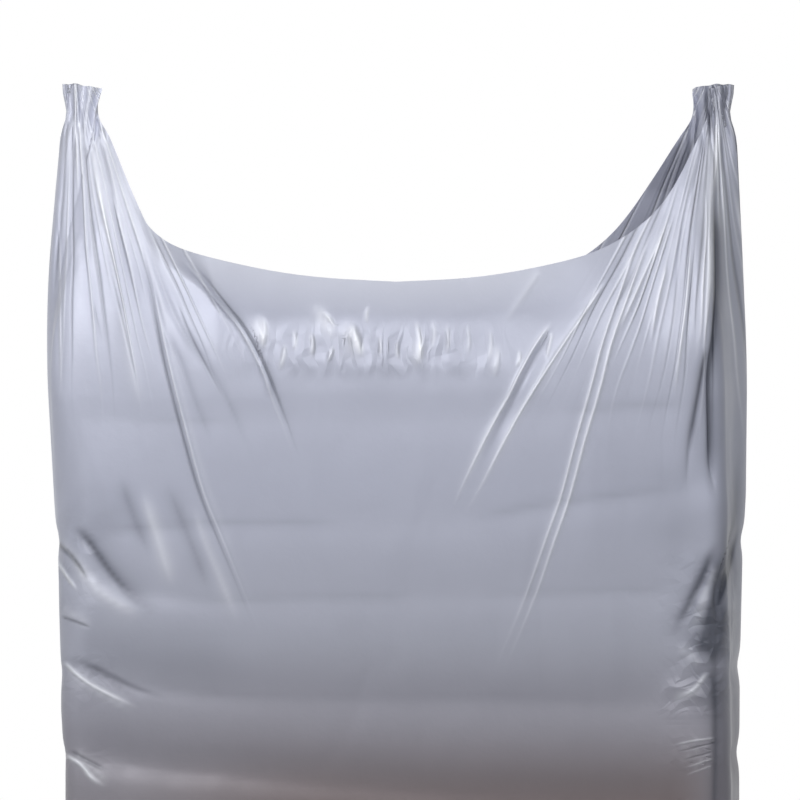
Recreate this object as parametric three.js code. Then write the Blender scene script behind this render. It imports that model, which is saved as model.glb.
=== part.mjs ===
// Large open plastic film bag, filled with three folded quilts and pulled up at its two mouth corners.
// Millimetres. +Z is up, the front faces -Y, and the base rests on Z = 0.
import * as THREE from 'three';

// Filled bag
const BAG_WIDTH = 750;
const BAG_DEPTH = 300;
const CORNER_RADIUS = 60;
const FACE_CROWN = 16;
const BASE_RADIUS = 22;
const FILM = 0.5;
const FILM_DIP = 5;

// Open mouth and the two gathered corners, above the filling
const RIM_RISE = 67;
const RIM_SAG = 0.35;
const RIM_SWEEP = 8;
const RIM_SLACK = 1.27;
const GRIP_RISE = 280;
const GRIP_INSET = 42;
const MOUTH_GAP = 240;
const MOUTH_ROUND = 0.5;
const BUNDLE_WIDTH = 54;
const BUNDLE_DEPTH = 34;
const GATHERED_SHARE = 0.21;
const PLEATS = 3;
const PLEAT_DEPTH = 11;

// Filling: each quilt is folded into soft layers
const LOWER_LAYERS = 4;
const MIDDLE_LAYERS = 3;
const UPPER_LAYERS = 3;
const LOWER_LAYER = 86;
const MIDDLE_LAYER = 86;
const UPPER_LAYER = 65;
const QUILT_DIP = 15;
const QUILT_CROWN = 9;
const QUILT_EASE = 1;
const SEAT_GAP = 0.3;

// Facets
const COLUMNS = 80;
const COLLAR_ROWS = 10;

const lowerTop = LOWER_LAYERS * LOWER_LAYER;
const middleTop = lowerTop + MIDDLE_LAYERS * MIDDLE_LAYER;
const fillTop = middleTop + UPPER_LAYERS * UPPER_LAYER;
const rimLow = fillTop + RIM_RISE;
const gripTop = fillTop + GRIP_RISE;
const gripX = BAG_WIDTH / 2 - GRIP_INSET;
const freeX = gripX - BUNDLE_WIDTH / 2;
const freeShare = 1 - GATHERED_SHARE;
const slackX = gripX * RIM_SLACK * freeShare;
const wall = FILM + SEAT_GAP + QUILT_EASE;

// Column k of n goes round the bag: front from left to right, then back from right to left.
// s is the place across one panel, from -1 at the left side fold to 1 at the right one.
function column(k, n) {
  const half = n / 2;
  const front = k <= half;
  const q = front ? -1 + (2 * k) / half : 3 - (2 * k) / half;
  return { s: 0.45 * q + 0.55 * Math.sin((Math.PI / 2) * q), face: front ? -1 : 1 };
}

// Rounded rectangle with crowned long sides, walked from the middle of a panel to the side fold.
function section({ s, face }, inset) {
  const straightX = BAG_WIDTH / 2 - CORNER_RADIUS;
  const flatDepth = BAG_DEPTH / 2 - FACE_CROWN;
  const straightY = flatDepth - CORNER_RADIUS;
  const turn = (Math.PI / 2) * CORNER_RADIUS;
  const along = Math.abs(s) * (straightX + turn + straightY);
  const angle = Math.min(Math.max((along - straightX) / CORNER_RADIUS, 0), Math.PI / 2);
  const past = Math.max(along - straightX - turn, 0);
  const nx = Math.sin(angle);
  const ny = Math.cos(angle);
  const x = Math.min(along, straightX) + (CORNER_RADIUS - inset) * nx;
  const y = straightY - past + (CORNER_RADIUS - inset) * ny;
  const across = x / (BAG_WIDTH / 2);
  const crown = FACE_CROWN * Math.max(1 - across * across, 0) * Math.min(1, y / flatDepth);
  return { x: Math.sign(s) * x, y: face * (y + crown) };
}

// Rim of the open mouth: it hangs between the two grips, then runs into the pleats of the bundle.
function rim({ s, face }) {
  const a = Math.abs(s);
  const side = Math.sign(s);
  const free = Math.min(a / freeShare, 1);
  const gathered = Math.max(a - freeShare, 0) / GATHERED_SHARE;
  const drawnIn = 1 - (1 - freeX / slackX) * free ** 4;
  const x = slackX * free * drawnIn + BUNDLE_WIDTH * gathered;
  const t = Math.min(x / gripX, 1);
  const hang = RIM_SAG * t ** 2 + (1 - RIM_SAG) * t ** RIM_SWEEP;
  const open = (MOUTH_GAP / 2) * (1 - free ** 2) ** MOUTH_ROUND;
  const wave = Math.sin(Math.PI * 2 * PLEATS * gathered);
  const fold = PLEAT_DEPTH * wave * Math.sin(Math.PI * gathered) ** 0.5;
  const y = open + (BUNDLE_DEPTH / 4) * (1 - gathered ** 4) * free ** 4 + fold / 2;
  return new THREE.Vector3(side * x, face * y, rimLow + (gripTop - rimLow) * hang);
}

// Collar of the film: it leaves the filled body upright and leans over to the rim.
function collar(col, bodyTop, t) {
  const b = section(col, 0);
  const from = new THREE.Vector3(b.x, b.y, bodyTop);
  const to = rim(col);
  const upright = from.clone().setZ(bodyTop + 0.5 * (to.z - bodyTop));
  const lean = to.clone().lerp(from, 0.45);
  return new THREE.CubicBezierCurve3(from, upright, lean, to).getPoint(t);
}

// Heights where the film dips between two layers of the filling.
function layerTops() {
  const tops = [];
  for (let i = 1; i <= LOWER_LAYERS; i++) tops.push(i * LOWER_LAYER);
  for (let i = 1; i <= MIDDLE_LAYERS; i++) tops.push(lowerTop + i * MIDDLE_LAYER);
  for (let i = 1; i < UPPER_LAYERS; i++) tops.push(middleTop + i * UPPER_LAYER);
  return tops;
}

// Rows of the film's outer face from the bottom weld up to the rim, each a place for a column.
function filmRows() {
  const flat = (inset, z) => (col) => {
    const p = section(col, inset);
    return new THREE.Vector3(p.x, p.y, z);
  };
  const weldHalf = BAG_WIDTH / 2 - CORNER_RADIUS;
  const slant = BASE_RADIUS * (1 - Math.SQRT1_2);
  const rows = [(col) => new THREE.Vector3(col.s * weldHalf, 0, 0)];
  rows.push(flat(BASE_RADIUS, 0), flat(slant, slant), flat(0, BASE_RADIUS));
  let below = 0;
  for (const top of layerTops()) {
    rows.push(flat(0, (below + top) / 2), flat(FILM_DIP, top));
    below = top;
  }
  const bodyTop = (below + fillTop) / 2;
  rows.push(flat(0, bodyTop));
  for (let i = 1; i <= COLLAR_ROWS; i++) rows.push((col) => collar(col, bodyTop, i / COLLAR_ROWS));
  return rows;
}

function geometry(points, triangles) {
  const g = new THREE.BufferGeometry();
  g.setAttribute('position', new THREE.Float32BufferAttribute(points.flatMap((p) => [p.x, p.y, p.z]), 3));
  g.setIndex(triangles.flat());
  g.computeVertexNormals();
  return g;
}

// The film is one closed shell: outer face, inner face one film thickness in, and the cut rim.
// Front and back share the points of the bottom weld.
function filmBag() {
  const rows = filmRows();
  const n = COLUMNS;
  const half = n / 2;
  const points = [];
  for (let k = 0; k <= half; k++) points.push(rows[0](column(k, n)));
  for (const row of rows.slice(1)) {
    for (let k = 0; k < n; k++) points.push(row(column(k, n)));
  }
  const at = (r, k) => {
    const c = k % n;
    return r === 0 ? Math.min(c, n - c) : half + 1 + (r - 1) * n + c;
  };
  const skin = [];
  for (let r = 0; r + 1 < rows.length; r++) {
    for (let k = 0; k < n; k++) {
      skin.push([at(r, k), at(r, k + 1), at(r + 1, k + 1)], [at(r, k), at(r + 1, k + 1), at(r + 1, k)]);
    }
  }
  const normals = geometry(points, skin).getAttribute('normal');
  const count = points.length;
  const inner = points.map((p, i) => {
    const normal = new THREE.Vector3().fromBufferAttribute(normals, i);
    return p.clone().addScaledVector(normal, -FILM);
  });
  const top = rows.length - 1;
  const edge = [];
  for (let k = 0; k < n; k++) {
    const a = at(top, k);
    const b = at(top, k + 1);
    edge.push([a, b, b + count], [a, b + count, a + count]);
  }
  const lining = skin.map(([a, b, c]) => [a + count, c + count, b + count]);
  return geometry([...points, ...inner], [...skin, ...lining, ...edge]);
}

// A quilt folded into soft layers, as one solid with rounded edges at every fold.
function foldedQuilt(bottom, layers, layer, foot, crown) {
  const n = COLUMNS / 2;
  const height = layers * layer - SEAT_GAP;
  const profile = [];
  for (let i = 0; i < layers; i++) {
    for (const f of [0, 0.2, 0.8]) {
      const round = 1 - Math.sqrt(1 - (2 * f - 1) ** 2);
      profile.push({ inset: wall + QUILT_DIP * round, z: bottom + ((i + f) * height) / layers });
    }
  }
  profile[0].inset = wall + foot;
  profile.push({ inset: wall + QUILT_DIP, z: bottom + height });
  const points = [];
  for (const { inset, z } of profile) {
    for (let k = 0; k < n; k++) {
      const p = section(column(k, n), inset);
      points.push(new THREE.Vector3(p.x, p.y, z));
    }
  }
  const floor = points.push(new THREE.Vector3(0, 0, bottom)) - 1;
  const roof = points.push(new THREE.Vector3(0, 0, bottom + height + crown)) - 1;
  const last = (profile.length - 1) * n;
  const faces = [];
  for (let k = 0; k < n; k++) {
    const j = (k + 1) % n;
    for (let r = 0; r < last; r += n) faces.push([r + k, r + j, r + n + j], [r + k, r + n + j, r + n + k]);
    faces.push([floor, j, k], [roof, last + k, last + j]);
  }
  return geometry(points, faces);
}

function node(name, shape, look) {
  const mesh = new THREE.Mesh(shape, new THREE.MeshStandardMaterial(look));
  mesh.name = name;
  return mesh;
}

const film = { name: 'silver_film', color: 0xb9bccb, roughness: 0.35, metalness: 0 };
const cloth = { name: 'quilt_cloth', color: 0x9d8f86, roughness: 0.9, metalness: 0 };

const bag = new THREE.Group();
bag.name = 'plastic_storage_bag';
const seat = FILM + SEAT_GAP;
const pressed = LOWER_LAYER - seat / LOWER_LAYERS;
const lower = foldedQuilt(seat, LOWER_LAYERS, pressed, BASE_RADIUS, 0);
const middle = foldedQuilt(lowerTop, MIDDLE_LAYERS, MIDDLE_LAYER, QUILT_DIP, 0);
const upper = foldedQuilt(middleTop, UPPER_LAYERS, UPPER_LAYER, QUILT_DIP, QUILT_CROWN);
bag.add(
  node('bag_film', filmBag(), film),
  node('folded_quilt_lower', lower, cloth),
  node('folded_quilt_middle', middle, cloth),
  node('folded_quilt_upper', upper, cloth),
);

export default bag;
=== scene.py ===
import math

import bpy
import numpy as np
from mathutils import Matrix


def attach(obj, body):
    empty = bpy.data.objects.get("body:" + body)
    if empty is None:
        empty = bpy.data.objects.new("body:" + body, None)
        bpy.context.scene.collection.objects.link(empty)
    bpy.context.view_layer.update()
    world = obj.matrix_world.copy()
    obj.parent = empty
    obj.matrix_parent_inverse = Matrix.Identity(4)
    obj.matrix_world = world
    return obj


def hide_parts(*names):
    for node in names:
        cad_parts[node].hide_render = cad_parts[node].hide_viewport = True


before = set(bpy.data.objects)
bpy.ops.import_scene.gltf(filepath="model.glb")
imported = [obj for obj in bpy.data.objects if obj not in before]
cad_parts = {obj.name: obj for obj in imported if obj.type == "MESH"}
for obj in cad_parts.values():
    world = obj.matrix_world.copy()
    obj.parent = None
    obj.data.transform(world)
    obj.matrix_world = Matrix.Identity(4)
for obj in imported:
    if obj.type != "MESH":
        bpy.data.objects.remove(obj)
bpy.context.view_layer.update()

rng = np.random.default_rng(7)
mm = 0.001

# camera and the view plane in which the folds are drawn: level, straight at the front panel
viewer = {
    "centre": 4.3,  # mm to the right of the bag's middle
    "height": 739.0,  # mm above the floor
    "distance": 3000.0,  # mm in front of the bag's middle
    "frameWidth": 857.0,  # mm seen across the image at the bag's middle
    "sensor": 36.0,
}

# film bag: all lengths in mm, heights above the floor; s of a column runs from 0 in a panel's middle to 1 or
# -1 at the side fold
bag = {
    "frontColumns": 440,
    "backColumns": 220,
    "baseRows": 5,
    "footRows": 4,
    "bodyRows": [0, 12, 72, 94],  # rows are closest where the side wrinkles lie
    "bodyLevels": [22, 300, 620, 740],
    "collarRows": 46,
    "depth": 300.0,
    "halfWidth": 375.0,
    "leftCorner": [24, 24, 24, 26, 34, 50, 60, 26, 14, 12],  # radius of the corners
    "rightCorner": [24, 24, 24, 24, 24, 24, 24, 24, 24, 24],
    "crown": 16.0,
    "foot": 22.0,
    "mouthGap": 190.0,
    "filmHalf": 500.0,  # half the lay-flat width
    "weldHalf": 315.0,
    "sideLevels": [0, 120, 345, 420, 480, 560, 640, 740, 830, 1000],
    "leftHalf": [348, 349, 351.5, 356, 357, 360, 365, 371, 375, 364],
    "rightHalf": [365, 366, 366.5, 367, 368, 370, 374, 375, 375, 369],
    "leftBow": [11, 11, 11, 11, 11, 11, 12, 14, 14, 10],  # how far the sides bow out past the front corners
    "rightBow": [20, 20, 21, 22, 23, 27, 31, 33, 33, 16],
    "drawn": 0.16,  # share by which the corners are drawn back toward the grips
    "drawnColumns": (0.35, 0.75),
    "drawnLeft": (500, 760),  # heights between which it sets in
    "drawnRight": (340, 600),
    # rim of each quarter from its middle to the grip, as seen from the front: x, z, x, z ...
    "rimFrontLeft": [
        0, 864, 100, 869, 190, 886, 234, 900, 259, 919, 269, 936, 304, 1016, 317, 1047, 315, 1074,
    ],
    "rimFrontRight": [
        0, 864, 90, 868, 176, 884, 219, 898, 258, 922, 286, 950, 314, 1000, 333, 1040, 336, 1074,
    ],
    "rimBackLeft": [0, 858, 100, 861, 190, 872, 240, 886, 275, 915, 300, 965, 320, 1020, 326, 1074],
    "rimBackRight": [0, 858, 120, 868, 190, 886, 222, 907, 250, 936, 288, 994, 312, 1036, 318, 1074],
    "bundleOuter": (357.0, 363.0),  # outer edge of the gathered film, left and right
    "bundleHalf": 25.0,
    "bundleDepth": 10.0,
    "bundleTop": 1077.0,
    "edgeRound": 10.0,
    "gatherFrom": 200.0,  # the gathered corners lie past this distance from the middle
    "waist": (1046.0, 17.0, 0.22),  # height of the gripped waist, its half height and how far it draws in
    "pleat": (26.0, 5.0),  # film per pleat and depth of the pleats at the free ends
    "pleatColumns": (0.66, 0.8),
    "pleatFrom": 985.0,
}

# collar: where the film leaves the filling, all in mm
collar = {
    "shoulder": 150.0,  # depth in front of the bag's middle where it starts
    # small waves of its start: height, length per radian, phase
    "waves": [(2, 23.0, 0), (2, 11.3, 1), (1, 6.1, 2)],
    "layBack": (742.0, 830.0),  # heights between which it lies back over the filling
    "setBack": 15.0,  # how far it lies back
    "curl": (2.0, 14.0),  # how far the rim draws back from its middle to the pulled lines
    "curlHalf": 230.0,
    "curlLevels": (790, 890),
    "grip": 20.0,  # its depth at the grips, and their height
    "gripZ": 1050.0,
    "thinFrom": 960.0,  # from here up to the grip it thins to half its depth
    "leastDepth": 5.0,
    "bend": (790.0, 38.0),  # the pulled panels turn upright below this height, over this length
    "blend": 5.0,  # softness of the line where a panel meets the body
    "leftPanel": (340.0, 0.17, 0.355),  # grip from the middle, depth gained per mm inward and per mm down
    "rightPanel": (341.0, 0.24, 0.345),
    # the pulled lines, where a panel passes into the hung part: z, x, z, x ...
    "leftLine": [
        960, 250, 905, 232, 895, 224, 877, 211, 862, 198, 841, 183, 819, 165, 793, 148, 771, 138, 742, 128,
    ],
    "rightLine": [960, 215, 900, 206, 869, 200, 825, 186, 787, 171, 765, 158],
    "leftStep": 5.0,  # half width of the change from panel to hung part
    "rightStep": 22.0,
    "stepMore": 25.0,  # and how much wider it is above these heights
    "stepLevels": (845, 895),
    "wrapStep": 60.0,  # least half width of that change where the start row is measured
    "handles": (0.3, 0.45),  # how far its rows run on from the body, and lean in to the rim
    "flatShare": 0.75,  # how flat the left panel stays, reached at this share of the way up
    "flatBy": 0.6,
    "meetBy": 0.3,  # share of the way up over which it leaves the body's own depth
}


def smooth(lo, hi, v):  # eased step from 0 at lo to 1 at hi
    t = np.clip((v - lo) / (hi - lo), 0.0, 1.0)
    return t * t * (3.0 - 2.0 * t)


def rounded(line, turns=2):  # a bent line with its corners cut, each time at a quarter and three quarters
    line = np.array(line, float).reshape(-1, 2)
    for _ in range(turns if len(line) > 2 else 0):
        a, b = line[:-1], line[1:]
        cut = np.stack([0.75 * a + 0.25 * b, 0.25 * a + 0.75 * b], 1).reshape(-1, 2)
        line = np.concatenate([line[:1], cut, line[-1:]])
    return line


# rounded rectangle with crowned faces and bowed sides, walked from a panel's middle to the side fold; the bow
# is full at the side fold and eases off in two steps toward the corner
def bodySection(s, face, inset, z):
    half = bag["depth"] / 2 - bag["crown"]
    r, bow, wide = (
        np.where(s < 0, *(np.interp(z, bag["sideLevels"], bag[side + name]) for side in ("left", "right")))
        for name in ("Corner", "Bow", "Half")
    )
    wide = wide - bow
    straightX, straightY, turn = wide - r, half - r, math.pi / 2 * r
    along = np.abs(s) * (straightX + straightY + turn)
    angle = np.clip((along - straightX) / r, 0.0, math.pi / 2)
    past = np.maximum(along - straightX - turn, 0.0)
    x = np.minimum(along, straightX) + (r - inset) * np.sin(angle)
    y = straightY - past + (r - inset) * np.cos(angle)
    deep = np.minimum(np.abs(y) / half, 1)
    x = x + bow * (1 - 0.3 * smooth(0.5, 0.95, deep) - 0.7 * smooth(0.05, 0.6, deep)) * (x / wide) ** 6
    y = y + bag["crown"] * np.maximum(1 - (x / wide) ** 2, 0) * np.minimum(1, y / half)
    return np.sign(s) * x, face * y


# rim of one quarter, walked along its own length; film past the grip is gathered along the bundle's top. The
# mouth's depth falls from the middle to the bundle nearly as a parabola
def rimQuarter(length, line, outer, side, face):
    x, z = rounded(line, 3).T
    arc = np.concatenate([[0], np.cumsum(np.hypot(np.diff(x), np.diff(z)))])
    spare = np.clip((length - arc[-1]) / (bag["filmHalf"] - arc[-1]), 0.0, 1.0)
    rx = np.interp(length, arc, x)
    rz = np.interp(length, arc, z)
    t = np.clip(rx / x.max(), 0, 1)
    ry = bag["mouthGap"] / 2 * (1 - t**2) ** 0.9 + bag["bundleDepth"] * t**4
    ry = ry * (1 - spare**3)
    rx = rx + (outer - x[-1]) * spare**0.8
    rz = rz + (bag["bundleTop"] - z[-1]) * smooth(0, 0.5, spare)
    k = 1 + face * ry / viewer["distance"]  # back from the view plane to the rim's own depth
    rx = side * viewer["centre"] + (rx - side * viewer["centre"]) * k
    rz = viewer["height"] + (rz - viewer["height"]) * k
    return rx, ry, rz


def rimLine(s, face):  # the whole rim: each column takes its place from the quarter that it lies in
    length = np.abs(s) * bag["filmHalf"]
    out = np.zeros((3, s.size))
    quarters = ((0, 0, "FrontLeft"), (0, 1, "FrontRight"), (1, 0, "BackLeft"), (1, 1, "BackRight"))
    for isBack, isRight, name in quarters:
        here = ((face > 0) == isBack) & ((s >= 0) == isRight)
        line, outer = bag["rim" + name], bag["bundleOuter"][isRight]
        out[:, here] = rimQuarter(length[here], line, outer, 2 * isRight - 1, 2 * isBack - 1)
    return np.sign(s) * out[0], face * out[1], out[2]


def shoulderDepth(x):  # depth of the crowned body where the collar starts
    return collar["shoulder"] - bag["crown"] * (x / bag["halfWidth"]) ** 2


# depth of the collar from the bag's middle plane: a flat panel pulled to each grip, and between the two
# pulled lines a part that lies back over the filling and then hangs upright
def collarDepth(x, z, leastStep=0.0):
    c = collar
    level = sum((high * np.sin(x / long + phase) for high, long, phase in c["waves"]), z)
    full = shoulderDepth(x)
    hung = full - c["setBack"] * smooth(*c["layBack"], level)
    hung = hung - np.where(x < 0, *c["curl"]) * (x / c["curlHalf"]) ** 2 * smooth(*c["curlLevels"], z)
    out = hung
    for side, name in ((-1, "left"), (1, "right")):
        gripX, inward, down = c[name + "Panel"]
        bend, over = c["bend"]
        below = c["gripZ"] - bend - over * np.logaddexp(0, (z - bend) / over)
        panel = c["grip"] + inward * (gripX - side * x) + down * below
        soft = c["blend"]
        panel = -soft * np.logaddexp(-panel / soft, -full / soft)  # never in front of the body
        lineZ, lineX = np.array(c[name + "Line"], float).reshape(-1, 2).T
        step = np.maximum(c[name + "Step"] + c["stepMore"] * smooth(*c["stepLevels"], z), leastStep)
        share = smooth(-1, 1, (side * x - np.interp(-z, -lineZ, lineX)) / step)
        out = out + (panel - hung) * share
    return np.maximum(out * (1 - 0.5 * smooth(c["thinFrom"], c["gripZ"], z)), c["leastDepth"])


# the plain film: base, rounded foot, body and collar; rows run up the bag, columns round it. A collar column
# is a cubic curve from the body's top row to the rim, laid in depth onto collarDepth
def plainFilm(s, face):
    rows = []
    foot, flat = bag["foot"], np.zeros_like(s)
    bx, by = bodySection(s, face, foot, flat)
    weldX = s * bag["weldHalf"]
    for f in np.linspace(0, 1, bag["baseRows"] + 1)[1:]:
        rows.append(np.stack([weldX + (bx - weldX) * f, by * f, flat], 1))
    for a in np.linspace(0, math.pi / 2, bag["footRows"] + 1)[1:]:
        x, y = bodySection(s, face, foot * (1 - math.sin(a)), flat)
        rows.append(np.stack([x, y, flat + foot * (1 - math.cos(a))], 1))
    outward = smooth(*bag["drawnColumns"], np.abs(s))
    for z in np.interp(np.arange(bag["bodyRows"][-1] + 1), bag["bodyRows"], bag["bodyLevels"])[1:]:
        x, y = bodySection(s, face, 0.0, flat + z)
        drawn = bag["drawn"] * np.where(s < 0, smooth(*bag["drawnLeft"], z), smooth(*bag["drawnRight"], z))
        rows.append(np.stack([x, y * (1 - drawn * outward), flat + z], 1))  # corners drawn to the grips
    start, ahead = rows[-1], rows[-1] - rows[-5]
    startX, startY, startZ = start.T
    end = np.stack(rimLine(s, face), 1)
    climb = end[:, 2:] - start[:, 2:]
    upright = start + ahead / ahead[:, 2:] * climb * collar["handles"][0]
    lean = end + collar["handles"][1] * (start - end)
    startDepth = collarDepth(startX, startZ, collar["wrapStep"])
    wrap = startY / startDepth  # falls to nothing at the side folds
    flatWrap = face * (shoulderDepth(startX) * (1 - bag["drawn"] * outward)) / startDepth
    isLeft = s * face > 0
    outerEdge = np.where(s < 0, np.argmin(s), np.argmax(s))  # the column of the side fold
    miss = startY - collarDepth(startX, startZ) * wrap
    for t in np.linspace(0, 1, bag["collarRows"] + 1)[1:]:
        row = (1 - t) ** 3 * start + 3 * t * (1 - t) ** 2 * upright + 3 * t * t * (1 - t) * lean + t**3 * end
        # toward the grip the left panel stays flat up to a narrow round at its outer edge
        past = np.clip((np.abs(row[:, 0]) - np.abs(row[outerEdge, 0])) / bag["edgeRound"] + 1, 0, 1)
        turned = flatWrap * np.sqrt(1 - past**2)
        flatter = wrap + (turned - wrap) * collar["flatShare"] * smooth(0, collar["flatBy"], t) * isLeft
        row[:, 1] = collarDepth(row[:, 0], row[:, 2]) * flatter + miss * (1 - smooth(0, collar["meetBy"], t))
        rows.append(row)
    return np.stack(rows)


# how closely the columns lie across a panel: fewest in its middle, most where the folds run
density = {"middle": 0.35, "more": 0.65, "moreFrom": (0.16, 0.26), "less": 0.35, "lessFrom": (0.82, 0.9)}


def panelPlaces(count, steps=1000):  # s of a panel's columns: the density added up, then cut evenly
    t = np.linspace(-1, 1, 2 * steps + 1)
    more, less = (smooth(*density[span], np.abs(t)) for span in ("moreFrom", "lessFrom"))
    run = np.cumsum(density["middle"] + density["more"] * more - density["less"] * less)
    half = np.interp(np.linspace(run[steps], run[-1], count // 2 + 1), run[steps:], t[steps:])
    return np.concatenate([-half[:0:-1], half])


frontS = panelPlaces(bag["frontColumns"])
backS = panelPlaces(bag["backColumns"])[::-1][1:-1]
columnS = np.concatenate([frontS, backS])
columnFace = np.concatenate([np.full(frontS.size, -1.0), np.full(backS.size, 1.0)])
isFront = columnFace < 0
film = plainFilm(columnS, columnFace)

# gathered corners: drawn in at the grip, pleated above it
for side in (-1, 1):
    height, half, draw = bag["waist"]
    perPleat, deep = bag["pleat"]
    there = film[..., 0] * side > bag["gatherFrom"]
    near = np.exp(-(((film[..., 2] - height) / half) ** 2)) * there
    middle = side * (bag["bundleOuter"][side > 0] - bag["bundleHalf"])
    film[..., 0] += (middle - film[..., 0]) * draw * near
    pleats = np.sin(columnS * bag["filmHalf"] / perPleat * 2 * math.pi)
    pleats = pleats * smooth(*bag["pleatColumns"], np.abs(columnS))
    film[..., 1] += deep * pleats * smooth(bag["pleatFrom"], bag["bundleTop"], film[..., 2]) * there
print("plain film", film.shape)


# outward directions of a grid whose columns close round the bag
def gridNormals(p):
    ring = np.concatenate([p[:, -1:], p, p[:, :1]], 1)
    n = np.cross(ring[:, 2:] - ring[:, :-2], np.gradient(p, axis=0))
    return n / np.maximum(np.linalg.norm(n, axis=2, keepdims=True), 1e-9)


def seenFromFront(p):  # place of each point on the view plane through the bag's middle
    k = viewer["distance"] / (viewer["distance"] + p[..., 1])
    x = viewer["centre"] + (p[..., 0] - viewer["centre"]) * k
    return x, viewer["height"] + (p[..., 2] - viewer["height"]) * k


# distance of points from a bent line, the side they lie on and their place along it, from 0 to 1
def fromLine(x, z, line):
    best, side, place = np.full(x.shape, 1e9), np.zeros(x.shape), np.zeros(x.shape)
    run = np.concatenate([[0], np.cumsum(np.linalg.norm(np.diff(line, axis=0), axis=1))])
    for (ax, az), (bx, bz), r0, r1 in zip(line[:-1], line[1:], run[:-1], run[1:]):
        dx, dz = bx - ax, bz - az
        f = np.clip(((x - ax) * dx + (z - az) * dz) / (dx * dx + dz * dz), 0, 1)
        ox, oz = x - ax - f * dx, z - az - f * dz
        d = np.hypot(ox, oz)
        closer = d < best
        best = np.where(closer, d, best)
        side = np.where(closer, np.sign(dx * oz - dz * ox), side)
        place = np.where(closer, (r0 + f * (r1 - r0)) / run[-1], place)
    return best, side, place


def tapered(place, tapers):  # 0 at both ends of a line, 1 between
    return smooth(-1e-3, tapers[0], place) * (1 - smooth(1 - tapers[1], 1.001, place))


# how a fold falls off, how blunt its top is, and from which width on it has the broad top
foldShape = {"fall": 1.4, "blunt": 0.046, "broadBlunt": 0.6, "broadFrom": 15}


# one fold: a crease of the given height along a bent line on the view plane, falling off on both sides as
# exp(-fall distance / width); lean widens one flank, and the two tapers are shares of the line's length
def foldHeight(x, z, height, width, lean, tapers, line):
    line = rounded(line)
    lo, hi = line.min(0) - 4 * width, line.max(0) + 4 * width
    near = (x > lo[0]) & (x < hi[0]) & (z > lo[1]) & (z < hi[1])
    away, side, place = fromLine(x[near], z[near], line)
    q = away / (width * (1 + lean * side))
    fall = foldShape["fall"]
    blunt = foldShape["broadBlunt"] if width > foldShape["broadFrom"] else foldShape["blunt"]
    shape = np.exp(fall * math.sqrt(blunt) - fall * np.sqrt(q * q + blunt))
    out = np.zeros_like(x)
    out[near] = height * shape * tapered(place, tapers)
    return out


# in line widths: the greatest distance kept, and the two between which a fine crease fades out
fineShape = {"far": 9.0, "fade": (2.3, 3.2)}


# fine creases kept apart from the grid: for each point the signed distance to the nearest line in line
# widths, and that line's height there, which is nothing far from it; the film's look draws them
def fineCrease(x, z, rows):
    at, up = np.full(x.shape, fineShape["far"]), np.zeros(x.shape)
    for height, width, tapers, line in rows:
        away, side, place = fromLine(x, z, rounded(onPlane(line)))
        q = np.minimum(away / width, fineShape["far"])
        closer = q < np.abs(at)
        at = np.where(closer, q * side, at)
        up = np.where(closer, height * tapered(place, tapers) * (1 - smooth(*fineShape["fade"], q)), up)
    return at, up


# the lines of the folds are drawn in pixels of a view from the front, 800 wide and high, y downward:
# the pixel at x = 0 and the viewer's height, and its size in mm on the view plane
drawing = {"middle": (396, 400), "pixel": 1.0714}


def onPlane(line):  # pixels to whole mm on the view plane: x from the bag's middle, z above the floor
    across, down = np.array(line, float).reshape(-1, 2).T
    x = (across - drawing["middle"][0]) * drawing["pixel"]
    z = viewer["height"] + (drawing["middle"][1] - down) * drawing["pixel"]
    return np.round(np.stack([x, z], 1))


# lines that several folds and creases follow: x, y, x, y ...
drawnLines = {
    "leftValley": [
        184, 254, 199, 271, 211, 285, 226, 305, 244, 325, 258, 350, 268, 372, 278, 399, 290, 430, 302, 465,
    ],
    "longCrease": [143, 256, 153, 308, 163, 358, 176, 410, 189, 460, 201, 499, 217, 538, 235, 582, 258, 638],
    "doubleCrease": [
        655, 225, 640, 262, 627, 300, 612, 340, 600, 390, 585, 440, 570, 500, 555, 540, 535, 600, 500, 680,
    ],
    "mainFold": [608, 279, 580, 320, 556, 355, 530, 395, 510, 430, 480, 490, 460, 520],
    "secondFold": [552, 322, 535, 345, 520, 372, 507, 400, 495, 420, 470, 470, 450, 515],
    "edgeRidge": [716, 122, 713, 171, 708, 198, 708, 241, 709, 279, 703, 340],
    "longGather": [691, 241, 686, 306, 680, 350, 674, 403],
    "shortGather": [668, 263, 656, 306, 651, 345],
}


def beside(name, right=0, down=0):  # one of the drawn lines, moved by whole pixels
    return np.array(drawnLines[name]).reshape(-1, 2) + (right, down)


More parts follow.
